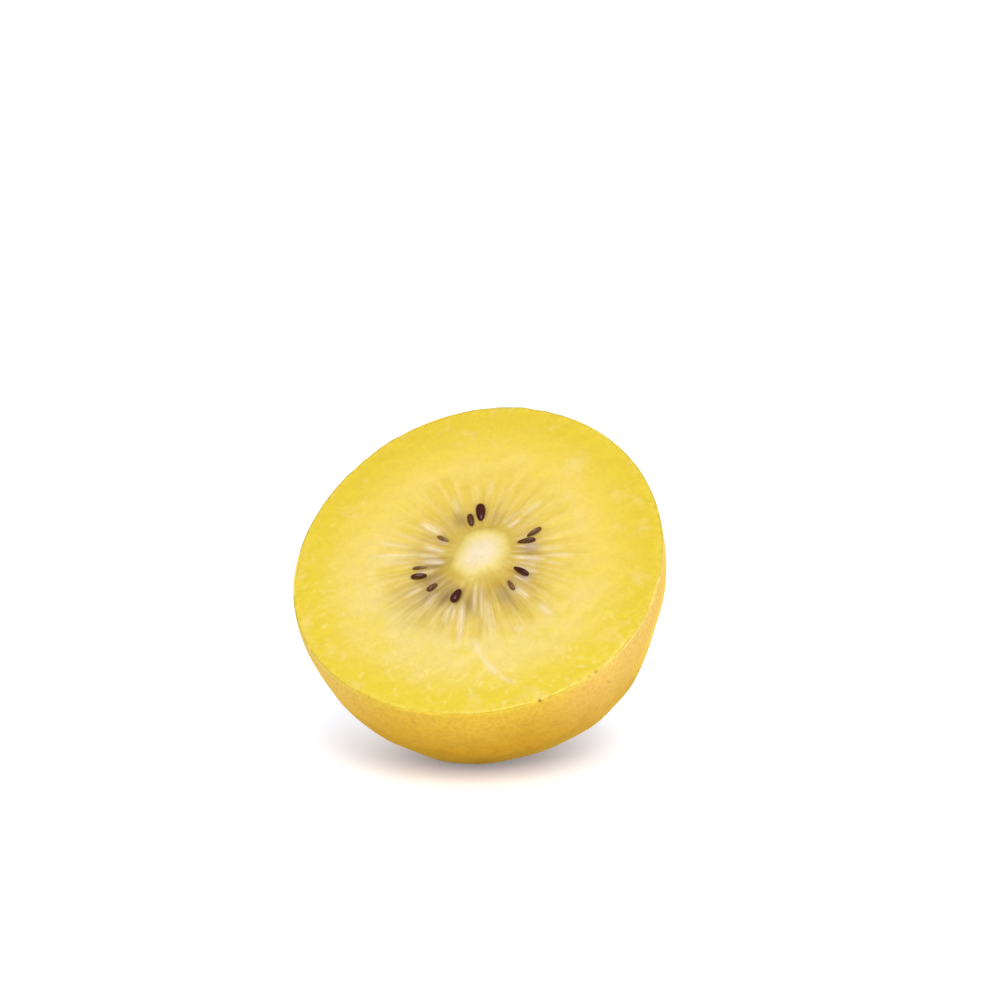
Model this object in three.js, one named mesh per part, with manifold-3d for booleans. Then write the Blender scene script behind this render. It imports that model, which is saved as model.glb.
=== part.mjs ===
// Half of a golden kiwi fruit, cut across its middle, lying on its rounded side with the cut face
// turned up and forward. Millimetres, +Z up. The origin is the middle of the small flat spot that
// the half rests on. It grew as one piece, so skin, flesh, core, seeds and stem end are one solid.
import * as THREE from "three";
import { mergeVertices } from "three/addons/utils/BufferGeometryUtils.js";
import Module from "manifold-3d";

const rad = THREE.MathUtils.degToRad;

// The whole form.
const CUT_RADIUS = 27.5; // mean radius of the cut face
const HALF_LENGTH = 34.2; // from the cut face to the stem end
const PROFILE_POWER = 2.2; // 2 would be an ellipse, more is fuller towards the stem end
const EDGE_SWELL = 0.3; // how far the side swells out just below the cut
const SWELL_DEPTH = 10; // how far down the swelling reaches
const CUT_TILT = 48.7; // degrees that the cut face's normal rises above level
const CUT_CENTRE = new THREE.Vector3(0.87, -5.84, 31.26); // middle of the cut face

// How the outline at the cut departs from a circle: waves round it, with their height and place.
const OUTLINE_WAVES = [
  { count: 2, height: 0.86, at: 60.5 },
  { count: 3, height: 0.4, at: 86.0 },
  { count: 4, height: 0.1, at: 47.3 },
];

// The cut face. Heights are along its normal.
const CORE_CENTRE = new THREE.Vector2(0, 0.8);
const CORE_RADIUS = 4.35; // mean radius of the pale core
const CORE_WAVES = [
  { count: 1, height: 0.15, at: 70 },
  { count: 2, height: 0.72, at: 55 },
  { count: 3, height: 0.2, at: 114 },
  { count: 4, height: 0.18, at: 52 },
];
const CORE_RISE = 0.35; // the firm core stands up as a low dome
const RAY_COUNT = 32; // rays between the seed chambers
const RAY_HEIGHT = 0.22;
const RAY_END = 17; // distance from the core's centre where the rays fade out
const DISH_DEPTH = 0.3; // the soft ring of seed chambers sinks in
const RIM_ROUND = 0.4; // the skin's edge is slightly rounded

// The seeds on the cut face: angle and distance of the middle from the core's centre, length and
// width, lean away from the line to the core, and how much of the seed is free of the flesh.
const SEEDS = [
  { angle: 97, distance: 7.7, length: 3.0, width: 1.42, lean: 2, free: 0.6 },
  { angle: 110, distance: 6.6, length: 2.2, width: 0.98, lean: -5, free: 0.46 },
  { angle: 156, distance: 6.5, length: 2.1, width: 0.66, lean: 1, free: 0.3 },
  { angle: 198, distance: 9.0, length: 2.4, width: 0.58, lean: -11, free: 0.3 },
  { angle: 207, distance: 9.6, length: 2.4, width: 0.84, lean: -15, free: 0.5 },
  { angle: 225, distance: 8.9, length: 1.9, width: 0.82, lean: 0, free: 0.42 },
  { angle: 251, distance: 7.9, length: 2.4, width: 1.28, lean: -3, free: 0.6 },
  { angle: 315, distance: 7.4, length: 2.1, width: 0.72, lean: -11, free: 0.34 },
  { angle: 337, distance: 7.0, length: 2.6, width: 0.84, lean: -4, free: 0.54 },
  { angle: 22.8, distance: 7.1, length: 2.7, width: 0.76, lean: -9, free: 0.46 },
  { angle: 31, distance: 8.7, length: 2.5, width: 0.68, lean: 8, free: 0.4 },
];
const SEED_DEPTH = 1.1;
const SEED_TAPER = 0.22; // how much the outer end of a seed is wider than its middle

// The corky scar at the stem end, as the radius and height of its rings. Heights are measured
// outwards from the tip of the smooth fruit form, so the scar lies in a shallow dimple.
const SCAR_RADIUS = 7.2;
const SCAR_OVAL = 0.92; // its short side over its long side
const SCAR_ROOT = 3.2; // how far it reaches into the fruit
const SCAR_RINGS = [
  { radius: 7.2, height: -1.15 },
  { radius: 6.9, height: -0.75 },
  { radius: 6.2, height: -0.35 },
  { radius: 5.5, height: -0.6 },
  { radius: 5.0, height: -0.85 },
  { radius: 4.3, height: -0.5 },
  { radius: 3.4, height: -0.55 },
  { radius: 2.5, height: -0.8 },
  { radius: 1.9, height: -0.9 },
  { radius: 1.5, height: -1.6 },
  { radius: 1.1, height: -2.1 },
];

// The dried sepal stubs that stand on the scar, round the hole that the stem left.
const SEPALS = [
  { angle: 20, size: 1.0 },
  { angle: 95, size: 0.75 },
  { angle: 170, size: 1.1 },
  { angle: 235, size: 0.6 },
  { angle: 305, size: 0.9 },
];
const SEPAL_DISTANCE = 3.9;
const SEPAL_SIZE = new THREE.Vector3(3.6, 2.0, 0.7); // length, width, thickness
const SEPAL_LIFT = 16; // degrees that a stub's outer end is raised

// Fineness of the mesh.
const ROUND_STEPS = RAY_COUNT * 4;
const SKIN_STEPS = 12;
const SCAR_STEPS = 40;
const FACE_RINGS = [25.5, 21.5, 17, 14.2, 12, 10.3, 8.9, 7.7, 6.6, 5.6, 4.7, 3.9, 2.2];
const FLOOR_BLOCK = 40; // side of the block that cuts the resting spot flat

const kiwiFlesh = new THREE.MeshStandardMaterial({
  name: "golden kiwi flesh",
  color: 0xf2d45c,
  roughness: 0.4,
  metalness: 0,
});

// A mean radius with waves round it, at an angle from the face's right-hand direction.
function wavedRadius(mean, waves, angle) {
  let radius = mean;
  for (const wave of waves) {
    radius += wave.height * Math.cos(wave.count * (angle - rad(wave.at)));
  }
  return radius;
}

// Radius of the outline at the cut.
function outlineRadius(angle) {
  return wavedRadius(CUT_RADIUS, OUTLINE_WAVES, angle);
}

// Height of the cut face over its plane, at a point given from the core's centre.
function faceRelief(distance, angle) {
  const core = wavedRadius(CORE_RADIUS, CORE_WAVES, angle);
  if (distance < core) {
    return CORE_RISE * (1 - (distance / core) ** 2);
  }
  const reach = (distance - core) / (RAY_END - core);
  if (reach >= 1) {
    return 0;
  }
  const dish = DISH_DEPTH * Math.sin(Math.PI * Math.sqrt(reach));
  const ray = RAY_HEIGHT * Math.sin(Math.PI * reach ** 0.7);
  return ray * (0.5 + 0.5 * Math.cos(RAY_COUNT * angle)) - dish;
}

// The half-profile that is turned round the fruit's axis, from the stem end to the cut face.
function halfProfile() {
  const points = [new THREE.Vector2(0, -HALF_LENGTH)];
  for (let step = SKIN_STEPS - 1; step > 0; step -= 1) {
    const turn = (Math.PI / 2) * (step / SKIN_STEPS);
    const depth = HALF_LENGTH * Math.sin(turn) ** (2 / PROFILE_POWER);
    const swell = EDGE_SWELL * Math.sin(Math.PI * Math.min(depth / SWELL_DEPTH, 1));
    points.push(new THREE.Vector2(CUT_RADIUS * Math.cos(turn) + swell, -depth));
  }
  points.push(new THREE.Vector2(CUT_RADIUS, -RIM_ROUND));
  points.push(new THREE.Vector2(CUT_RADIUS - RIM_ROUND, 0));
  for (const radius of FACE_RINGS) {
    points.push(new THREE.Vector2(radius, 0));
  }
  points.push(new THREE.Vector2(0, 0));
  return points;
}

// A profile turned round +Z, with the profile's height along +Z.
function turned(points, steps) {
  const geometry = new THREE.LatheGeometry(points, steps);
  geometry.rotateX(Math.PI / 2);
  return geometry;
}

// The smooth half with its cut face: x and y lie in the face, and z points out of it.
function halfGeometry() {
  const geometry = turned(halfProfile(), ROUND_STEPS);
  const position = geometry.getAttribute("position");
  for (let i = 0; i < position.count; i += 1) {
    const height = position.getZ(i);
    const angle = Math.atan2(position.getY(i), position.getX(i));
    const share = Math.hypot(position.getX(i), position.getY(i)) / CUT_RADIUS;
    const onFace = height > -RIM_ROUND / 2;
    const shift = onFace ? 1 - share : 0;
    const x = share * outlineRadius(angle) * Math.cos(angle) + shift * CORE_CENTRE.x;
    const y = share * outlineRadius(angle) * Math.sin(angle) + shift * CORE_CENTRE.y;
    const distance = Math.hypot(x - CORE_CENTRE.x, y - CORE_CENTRE.y);
    const relief = onFace ? faceRelief(distance, angle) : 0;
    position.setXYZ(i, x, y, height + relief);
  }
  return geometry;
}

// One seed: a few-sided drop, wider at its outer end, that points at the core.
function seedGeometry(seed) {
  const drop = new THREE.SphereGeometry(0.5, 8, 6);
  drop.rotateZ(-Math.PI / 2);
  const position = drop.getAttribute("position");
  for (let i = 0; i < position.count; i += 1) {
    const taper = 1 + 2 * SEED_TAPER * position.getX(i);
    position.setY(i, position.getY(i) * taper);
    position.setZ(i, position.getZ(i) * taper);
  }
  const angle = rad(seed.angle);
  const flesh = faceRelief(seed.distance, angle);
  drop.scale(seed.length, seed.width, SEED_DEPTH);
  drop.rotateZ(angle + rad(seed.lean));
  drop.translate(
    CORE_CENTRE.x + seed.distance * Math.cos(angle),
    CORE_CENTRE.y + seed.distance * Math.sin(angle),
    flesh + SEED_DEPTH * (seed.free - 0.5),
  );
  return drop;
}

// The stem scar, with z pointing out of the stem end and 0 at the tip of the smooth form.
function scarGeometry() {
  const points = [new THREE.Vector2(0, -SCAR_ROOT), new THREE.Vector2(SCAR_RADIUS * 0.9, -SCAR_ROOT)];
  for (const ring of SCAR_RINGS) {
    points.push(new THREE.Vector2(ring.radius, ring.height));
  }
  points.push(new THREE.Vector2(0, SCAR_RINGS.at(-1).height));
  const scar = turned(points, SCAR_STEPS);
  scar.scale(1, SCAR_OVAL, 1);
  return scar;
}

// The plug of smooth fruit that the scar takes the place of.
function scarSeatGeometry() {
  const seat = new THREE.CylinderGeometry(SCAR_RADIUS * 0.95, SCAR_RADIUS * 0.85, SCAR_ROOT, SCAR_STEPS);
  seat.rotateX(Math.PI / 2);
  seat.scale(1, SCAR_OVAL, 1);
  seat.translate(0, 0, -SCAR_ROOT / 4);
  return seat;
}

// One dried sepal stub: a flat leaf tip that lies on the scar. A small one is shorter.
function sepalGeometry(sepal) {
  const stub = new THREE.SphereGeometry(0.5, 8, 5);
  stub.rotateZ(Math.PI / 2);
  stub.scale(SEPAL_SIZE.x * sepal.size, SEPAL_SIZE.y, SEPAL_SIZE.z);
  stub.rotateY(-rad(SEPAL_LIFT));
  stub.translate(SEPAL_DISTANCE, 0, SCAR_RINGS[2].height);
  stub.rotateZ(rad(sepal.angle));
  return stub;
}

// The face's frame and the stem end's frame, each as it lies on the surface.
function facePlace() {
  const right = new THREE.Vector3(1, 0, 0);
  const out = new THREE.Vector3(0, -Math.cos(rad(CUT_TILT)), Math.sin(rad(CUT_TILT)));
  const up = out.clone().cross(right);
  return new THREE.Matrix4().makeBasis(right, up, out).setPosition(CUT_CENTRE);
}

function stemPlace() {
  const turn = new THREE.Matrix4().makeRotationX(Math.PI);
  const down = new THREE.Matrix4().makeTranslation(0, 0, -HALF_LENGTH);
  return facePlace().multiply(down).multiply(turn);
}

const wasm = await Module();
wasm.setup();

// A closed solid from a three.js geometry, put in its place.
function solid(geometry, place) {
  const bare = geometry.clone().applyMatrix4(place);
  bare.deleteAttribute("normal");
  bare.deleteAttribute("uv");
  const merged = mergeVertices(bare, 1e-4);
  const corners = merged.getIndex().array;
  const kept = [];
  for (let i = 0; i < corners.length; i += 3) {
    const [a, b, c] = corners.slice(i, i + 3);
    if (a !== b && b !== c && c !== a) {
      kept.push(a, b, c);
    }
  }
  return new wasm.Manifold(
    new wasm.Mesh({
      numProp: 3,
      vertProperties: new Float32Array(merged.getAttribute("position").array),
      triVerts: new Uint32Array(kept),
    }),
  );
}

// The whole half, joined into one body and cut flat where it rests.
function kiwiHalf() {
  const face = facePlace();
  const stem = stemPlace();
  let body = solid(halfGeometry(), face);
  body = body.subtract(solid(scarSeatGeometry(), stem)).add(solid(scarGeometry(), stem));
  for (const sepal of SEPALS) {
    body = body.add(solid(sepalGeometry(sepal), stem));
  }
  for (const seed of SEEDS) {
    body = body.add(solid(seedGeometry(seed), face));
  }
  const floor = new THREE.BoxGeometry(FLOOR_BLOCK, FLOOR_BLOCK, FLOOR_BLOCK);
  const below = new THREE.Matrix4().makeTranslation(0, 0, -FLOOR_BLOCK / 2);
  return body.subtract(solid(floor, below));
}

// The joined body as a named mesh.
function meshOf(body, name, material) {
  const data = body.getMesh();
  const geometry = new THREE.BufferGeometry();
  geometry.setAttribute("position", new THREE.BufferAttribute(data.vertProperties, 3));
  geometry.setIndex(new THREE.BufferAttribute(data.triVerts, 1));
  geometry.computeVertexNormals();
  const mesh = new THREE.Mesh(geometry, material);
  mesh.name = name;
  return mesh;
}

const part = new THREE.Group();
part.add(meshOf(kiwiHalf(), "kiwi_half", kiwiFlesh));
export default part;
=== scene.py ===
"""The looks of half a golden kiwi fruit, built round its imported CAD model.

Lengths are in millimetres up to the point where a mesh is made, and angles in degrees where they
are named. The face's frame has x to the right and y up in the cut face, and z out of it.
"""
import math

import bpy
import numpy as np
from mathutils import Matrix, Vector

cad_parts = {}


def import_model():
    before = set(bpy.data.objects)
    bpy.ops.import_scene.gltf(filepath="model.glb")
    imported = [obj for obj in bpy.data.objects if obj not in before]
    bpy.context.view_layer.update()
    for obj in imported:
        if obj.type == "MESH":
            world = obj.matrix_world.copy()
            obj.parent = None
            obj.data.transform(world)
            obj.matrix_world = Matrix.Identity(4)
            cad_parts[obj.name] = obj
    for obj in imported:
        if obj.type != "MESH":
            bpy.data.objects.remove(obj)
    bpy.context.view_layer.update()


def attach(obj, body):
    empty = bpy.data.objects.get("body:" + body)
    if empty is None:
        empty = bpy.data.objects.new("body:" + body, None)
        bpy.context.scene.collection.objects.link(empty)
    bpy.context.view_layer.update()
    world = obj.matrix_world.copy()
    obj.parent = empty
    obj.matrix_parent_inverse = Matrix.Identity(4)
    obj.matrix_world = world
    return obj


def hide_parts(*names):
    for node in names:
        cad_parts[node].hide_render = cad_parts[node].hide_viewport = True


MM = 0.001

# The form, as in the CAD model.
CUT_RADIUS = 27.5
HALF_LENGTH = 34.2
PROFILE_POWER = 2.2
EDGE_SWELL = 0.3  # how far the side swells out just below the cut
SWELL_DEPTH = 10.0
CUT_TILT = 48.7
CUT_CENTRE = (0.87, -5.84, 31.26)
OUTLINE_WAVES = ((2, 0.86, 60.5), (3, 0.4, 86.0), (4, 0.1, 47.3))  # count, height, place
CORE_CENTRE = (0.0, 0.8)
CORE_RADIUS = 4.35
CORE_WAVES = ((1, 0.15, 70.0), (2, 0.72, 55.0), (3, 0.2, 114.0), (4, 0.18, 52.0))
CORE_RISE = 0.35
RAY_COUNT = 32
RAY_HEIGHT = 0.22
RAY_END = 17.0
DISH_DEPTH = 0.3
SEED_DEPTH = 1.1
SEED_TAPER = 0.22
SCAR_RADIUS = 7.2
SCAR_OVAL = 0.92
SCAR_ROOT = 3.2
SCAR_RINGS = (
    (7.2, -1.15), (6.9, -0.75), (6.2, -0.35), (5.5, -0.6), (5.0, -0.85), (4.3, -0.5),
    (3.4, -0.55), (2.5, -0.8), (1.9, -0.9), (1.5, -1.6), (1.1, -2.1),
)  # radius, height
SEPALS = ((20, 1.0), (95, 0.75), (170, 1.1), (235, 0.6), (305, 0.9))  # angle, size
SEPAL_DISTANCE = 3.9
SEPAL_LENGTH = 3.6
SEPAL_LIFT = 16.0

# Finer form, which the CAD model lacks or has coarser.
LOW_SIDE = 259.0  # where the flesh is duller near the core and creamier further out
SEED_SPREAD = 0.62  # the share of a seed's length and width that its marks are measured by
HOLLOW_DEPTH = 0.2  # how deep the flesh is torn down beside a seed
CRACK_RADIUS = 5.1  # where the cork has split, between its two ridges
HOLE_RADIUS = 1.9  # where the stem broke off
SEPAL_WIDTH = 2.4
SEPAL_SINK = 0.6  # how deep its middle lies in the cork
SEPAL_THICKNESS = 0.3

# Seeds: angle and distance of the middle from the core's centre, length, width, lean away from
# the line to the core, and how much is free of the flesh.
SEEDS = (
    (97, 7.7, 3.0, 1.42, 2, 0.6),
    (110, 6.6, 2.2, 0.98, -5, 0.46),
    (156, 6.5, 2.1, 0.66, 1, 0.3),
    (198, 9.0, 2.4, 0.58, -11, 0.3),
    (207, 9.6, 2.4, 0.84, -15, 0.5),
    (225, 8.9, 1.9, 0.82, 0, 0.42),
    (251, 7.9, 2.4, 1.28, -3, 0.6),
    (315, 7.4, 2.1, 0.72, -11, 0.34),
    (337, 7.0, 2.6, 0.84, -4, 0.54),
    (22.8, 7.1, 2.7, 0.76, -9, 0.46),
    (31, 8.7, 2.5, 0.68, 8, 0.4),
)

# Seeds that lie wholly under the flesh and only dim it: angle, distance, length, width, strength.
DEEP_SEEDS = (
    (121, 7.2, 2.2, 1.2, 0.75),
    (78, 6.9, 2.2, 1.4, 0.35),
    (242, 8.9, 2.4, 1.6, 1.0),
    (267, 9.2, 2.8, 1.6, 0.9),
    (302, 8.3, 2.6, 1.6, 0.7),
    (197, 7.0, 2.8, 1.9, 0.95),
    (230, 10.1, 2.6, 1.7, 0.8),
    (11, 7.2, 2.6, 1.4, 0.8),
    (215, 8.2, 2.4, 1.5, 0.9),
    (4, 7.6, 2.6, 0.9, 0.45),
)

# Pale fibres that stand out among the rays: start and end as angle and distance from the core's
# centre, half width, and strength.
FIBRES = (
    (150, 7.0, 152, 11.4, 0.3, 0.95),
    (178, 5.0, 173, 9.2, 0.22, 0.8),
    (197, 5.0, 191, 9.2, 0.22, 0.9),
    (186, 6.0, 183, 9.4, 0.15, 0.55),
    (358, 4.6, 358, 10.2, 0.18, 0.95),
    (350, 5.2, 350, 9.6, 0.14, 0.55),
    (344, 5.2, 342, 9.8, 0.18, 0.65),
    (18, 5.4, 13, 9.0, 0.15, 0.65),
    (327, 6.3, 331, 9.4, 0.17, 0.75),
    (316, 8.0, 319, 11.2, 0.22, 0.8),
    (319, 12.6, 319, 15.9, 0.34, 0.75),
    (57, 6.0, 52, 8.6, 0.18, 0.7),
    (65, 6.0, 60, 9.8, 0.17, 0.45),
    (259, 8.2, 267, 17.0, 0.24, 0.85),
    (268, 4.4, 273, 11.4, 0.15, 0.7),
    (278, 4.8, 279, 12.4, 0.13, 0.6),
    (285, 8.0, 284, 16.2, 0.22, 0.7),
    (249, 9.4, 255, 14.0, 0.19, 0.65),
    (254, 9.2, 259, 13.0, 0.13, 0.6),
    (231, 8.6, 236, 12.6, 0.24, 0.5),
    (219, 9.8, 220, 13.6, 0.26, 0.55),
    (118, 11.6, 120, 8.2, 0.17, 0.5),
    (90, 13.6, 90, 10.4, 0.2, 0.4),
    (55, 8.6, 51, 13.6, 0.26, 0.45),
    (273, 14.6, 279, 19.4, 0.26, 0.6),
    (278, 18.4, 285, 22.2, 0.28, 0.75),
    (283, 21.4, 291, 24.6, 0.2, 0.55),
    (297, 14.2, 301, 15.8, 0.3, 0.55),
    (176, 9.6, 175, 16.6, 0.26, 0.5),
    (184, 9.2, 184, 17.2, 0.22, 0.55),
    (190, 10.2, 188, 15.4, 0.22, 0.5),
    (167, 9.4, 166, 14.0, 0.2, 0.45),
    (3, 9.4, 2, 14.2, 0.2, 0.5),
    (355, 9.6, 354, 13.6, 0.2, 0.5),
    (10, 8.4, 9, 13.0, 0.2, 0.45),
)

# Painted glints: pale lilac reflections on the wet flesh beside the seeds, given as the fibres are.
GLINTS = (
    (334, 6.8, 331, 9.2, 0.4, 0.8),
    (17, 6.4, 14, 8.8, 0.36, 0.75),
    (203, 8.4, 204, 10.0, 0.26, 0.55),
    (317, 7.4, 312, 9.2, 0.3, 0.6),
    (162, 5.4, 158, 7.2, 0.28, 0.5),
    (356, 6.2, 357, 9.4, 0.34, 0.4),
    (191, 5.6, 193, 7.8, 0.3, 0.35),
)

# Small brown nicks on the edge of the cut: angle, radius and strength.
NICKS = (
    (296, 0.44, 0.85),
    (315.6, 0.5, 0.55),
    (312.9, 0.4, 0.35),
    (243, 0.3, 0.3),
    (88, 0.3, 0.5),
)
NICK_COLOUR = (184, 112, 14)

# The skin, the flesh within it, and the fineness of both.
SKIN_THICKNESS = 0.3
SKIN_SEEN = 0.07  # how much of the skin's thickness shows round the flesh
SKIN_LIP = ((SKIN_THICKNESS, 0.02), (0.2, 0.0), (0.09, 0.02), (0.02, 0.09))  # inset, drop
SKIN_START = 0.012  # the turn at which it begins below its lip
SKIN_HOLE = 0.95  # where it ends under the scar, as a share of the scar's radius
EDGE_DROP = 0.14  # how far the skin's edge lies below the flesh
EDGE_ROUNDING = 0.5  # how far from its edge the flesh begins to round down
UNDERSIDE_GAP = 0.25  # between the skin and the flesh's hidden underside
UNDERSIDE_STOP = 2.4  # how far short of the stem end the flesh ends
UNDERSIDE_START = 0.02  # the turn at which it begins below the face's edge
UNDERSIDE_RINGS = 17
FLESH_LOWEST = 0.6  # above the table
FACE_STEPS = 560
FACE_RINGS = ((0.0, 5.0, 20), (5.0, 18.0, 88), (18.0, CUT_RADIUS, 42))  # from, to, rings
SKIN_ROUND_STEPS = 320
SKIN_DOWN_STEPS = 96

# The camera, as seen from the cut face's centre.
CAMERA_AZIMUTH = 10.0
CAMERA_ELEVATION = 13.0
CAMERA_DISTANCE = 550.0
CAMERA_LENS = 135.2
SENSOR = 36.0
PICTURE = 1000
CENTRE_PIXEL = (479.4, 558.2)  # where the cut face's centre lies in the picture

# The studio. The lamp's direction is given as the camera's is.
WORLD_STRENGTH = 1.2
WORLD_COLOUR = (0.94, 0.97, 1.0, 1.0)
LAMP_AZIMUTH = 18.0
LAMP_ELEVATION = 38.0
LAMP_DISTANCE = 900.0
LAMP_SIZE = 500.0
LAMP_AIM = (0.0, 0.0, 20.0)  # the point that the lamp is turned to
LAMP_POWER = 6.0
LAMP_COLOUR = (1.0, 0.97, 0.93)
FLOOR_SIZE = 8000.0
LIGHT_LEVEL = 1.66  # how bright this light makes a white surface on the cut face


# ---- numbers

def smooth(low, high, value):
    """0 below low, 1 above high, and a soft step between them. low may be above high."""
    share = np.clip((value - low) / (high - low), 0, 1)
    return share * share * (3 - 2 * share)


def round_noise(angle, cells, seed):
    """Smooth noise from -1 to 1 round the circle, with a number of cells."""
    values = np.random.default_rng(seed).uniform(-1, 1, cells)
    place = (angle / (2 * math.pi) * cells) % cells
    first = np.floor(place).astype(int) % cells
    share = smooth(0, 1, place - np.floor(place))
    return values[first] * (1 - share) + values[(first + 1) % cells] * share


def lump_noise(points, scale, seed, waves=14):
    """Smooth noise of about -1 to 1 in space, with lumps of about scale millimetres."""
    rng = np.random.default_rng(seed)
    total = np.zeros(points.shape[:-1])
    for _ in range(waves):
        direction = rng.normal(size=3)
        direction *= 2 * math.pi / (2 * scale * np.linalg.norm(direction))
        total += np.cos(points @ direction + rng.uniform(0, 2 * math.pi))
    return total / math.sqrt(waves / 2)


# ---- the form

def round_angles(steps):
    """A row of angles round the circle, in radians."""
    return np.linspace(0, 2 * math.pi, steps, endpoint=False)[None, :]


def waved(radius, waves, angle):
    """A mean radius with waves round it, for angles in radians."""
    for count, height, place in waves:
        radius = radius + height * np.cos(count * (angle - math.radians(place)))
    return radius


def outline_radius(angle):
    """Radius of the outline at the cut."""
    return waved(CUT_RADIUS, OUTLINE_WAVES, angle)


def core_radius(angle):
    return waved(CORE_RADIUS, CORE_WAVES, angle)


def across_chambers(angle):
    """How far across its chamber each angle lies, from -0.5 to 0.5, and the chamber's number."""
    place = (angle + 0.035 * round_noise(angle, 23, 11)) * RAY_COUNT / (2 * math.pi)
    number = np.floor(place)
    return place - number - 0.5, number.astype(int) % RAY_COUNT


def ray_pattern(angle):
    """The rays round the face, from 0 in a chamber to 1 on a ray, with natural unevenness."""
    wide = 0.5 - 0.5 * np.cos(2 * math.pi * across_chambers(angle)[0])
    fine = 0.5 + 0.5 * round_noise(angle, 150, 12)
    return np.clip(0.75 * wide + 0.35 * (fine - 0.3), 0, 1)


def near_seed(x, y, angle, distance, length, width, lean):
    """Square of the distance from a seed's middle, counted in seed sizes."""
    around, turn = math.radians(angle), math.radians(angle + lean)
    dx = x - distance * math.cos(around)
    dy = y - distance * math.sin(around)
    along = (dx * math.cos(turn) + dy * math.sin(turn)) / (SEED_SPREAD * length)
    across = (dy * math.cos(turn) - dx * math.sin(turn)) / (SEED_SPREAD * width)
    return along ** 2 + across ** 2


def hollow_depth(free):
    """How deep the flesh is torn down round a seed, by how much of the seed is free of it."""
    return HOLLOW_DEPTH * min(1, free * 2)


def seed_hollows(x, y):
    """How far the flesh is torn down beside the seeds."""
    hollow = np.zeros_like(x)
    for angle, distance, length, width, lean, free in SEEDS:
        apart = near_seed(x, y, angle, distance, length, width + 0.3, lean)
        hollow = np.maximum(hollow, np.exp(-apart * 0.7) * hollow_depth(free))
    return hollow


def face_height(x, y):
    """Height of the cut face at points given from the core's centre."""
    distance = np.hypot(x, y)
    angle = np.arctan2(y, x)
    core = core_radius(angle)
    reach = np.clip((distance - core) / (RAY_END - core), 0, 1)
    dome = CORE_RISE * np.clip(1 - (distance / core) ** 2, 0, 1)
    dish = DISH_DEPTH * np.sin(math.pi * np.sqrt(reach))
    ray = RAY_HEIGHT * np.sin(math.pi * reach ** 0.7) * ray_pattern(angle)
    points = np.stack([x, y, np.zeros_like(x)], -1)
    grain = 0.035 * lump_noise(points, 1.3, 21) + 0.05 * lump_noise(points, 5.0, 22)
    return dome - dish + ray - seed_hollows(x, y) + grain


def skin_points(turn, angle, inset):
    """Points of the skin in the face's frame, with turn 0 at the cut and pi / 2 at the stem."""
    share = np.cos(turn) * (1 - inset / CUT_RADIUS)
    depth = HALF_LENGTH * np.sin(turn) ** (2 / PROFILE_POWER) * (1 - inset / HALF_LENGTH)
    swell = EDGE_SWELL * np.sin(math.pi * np.clip(depth / SWELL_DEPTH, 0, 1))
    radius = outline_radius(angle) * share + swell
    height = -depth * np.ones_like(radius)
    points = np.stack([radius * np.cos(angle), radius * np.sin(angle), height], -1)
    fade = smooth(0, 6, -height)[..., None]
    sink = (0.12 * lump_noise(points, 9.0, 31) + 0.05 * lump_noise(points, 3.5, 32))[..., None]
    outward = points / np.linalg.norm(points, axis=-1, keepdims=True)
    return points + outward * (sink - 0.1) * fade


def to_row(points):
    """Points of the face's frame in the row frame, still in millimetres."""
    tilt = math.radians(CUT_TILT)
    axes = np.array([
        [1, 0, 0],
        [0, math.sin(tilt), math.cos(tilt)],
        [0, -math.cos(tilt), math.sin(tilt)],
    ])
    return points @ axes + np.array(CUT_CENTRE)


def stem_to_face(points):
    """Points of the stem end's frame, with z out of the stem end, in the face's frame."""
    return points * np.array([1, -1, -1]) - np.array([0, 0, HALF_LENGTH])


# ---- meshes

def add_mesh(name, points, faces, lowest=None):
    """A smooth mesh object from points in the row frame, in millimetres."""
    if lowest is not None:
        points = np.column_stack([points[:, :2], np.maximum(points[:, 2], lowest)])
    mesh = bpy.data.meshes.new(name)
    mesh.from_pydata((points * MM).tolist(), [], faces)
    mesh.shade_smooth()
    mesh.update()
    piece = bpy.data.objects.new(name, mesh)
    bpy.context.scene.collection.objects.link(piece)
    return piece


def ring_faces(rings, steps, first=0, closed=False):
    """Quads between rings of points, each ring closed on itself."""
    faces = []
    for ring in range(rings if closed else rings - 1):
        here = first + ring * steps
        there = first + ((ring + 1) % rings) * steps
        for step in range(steps):
            after = (step + 1) % steps
            faces.append((here + step, there + step, there + after, here + after))
    return faces


def fan_faces(tip, ring, steps, inward):
    """Triangles from a tip to the ring that starts at an index."""
    faces = []
    for step in range(steps):
        after = (step + 1) % steps
        pair = (ring + after, ring + step) if inward else (ring + step, ring + after)
        faces.append((tip, *pair))
    return faces


def set_marks(piece, marks):
    """Stores each mark as a number at each point of the piece, for its material."""
    for name, values in marks.items():
        layer = piece.data.attributes.new(name, "FLOAT", "POINT")
        layer.data.foreach_set("value", np.asarray(values, np.float32))


# ---- marks

def polar(angle, distance):
    """A point of the face from an angle in degrees and a distance."""
    return distance * np.array([math.cos(math.radians(angle)), math.sin(math.radians(angle))])


def round_bump(angle, place, width):
    """1 where the angle is at a place in degrees, falling to 0 about a width away."""
    apart = (np.degrees(angle) - place + 180) % 360 - 180
    return np.exp(-(apart / width) ** 2)


def strand(x, y, start, end, half_width):
    """A soft thin line between two points: 1 along its middle, with faint ends."""
    line = end - start
    along = ((x - start[0]) * line[0] + (y - start[1]) * line[1]) / (line @ line)
    across = ((x - start[0]) * line[1] - (y - start[1]) * line[0]) / math.hypot(*line)
    fade = smooth(-0.05, 0.3, along) * smooth(1.05, 0.6, along)
    return fade * np.exp(-(across / half_width) ** 2)


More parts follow.
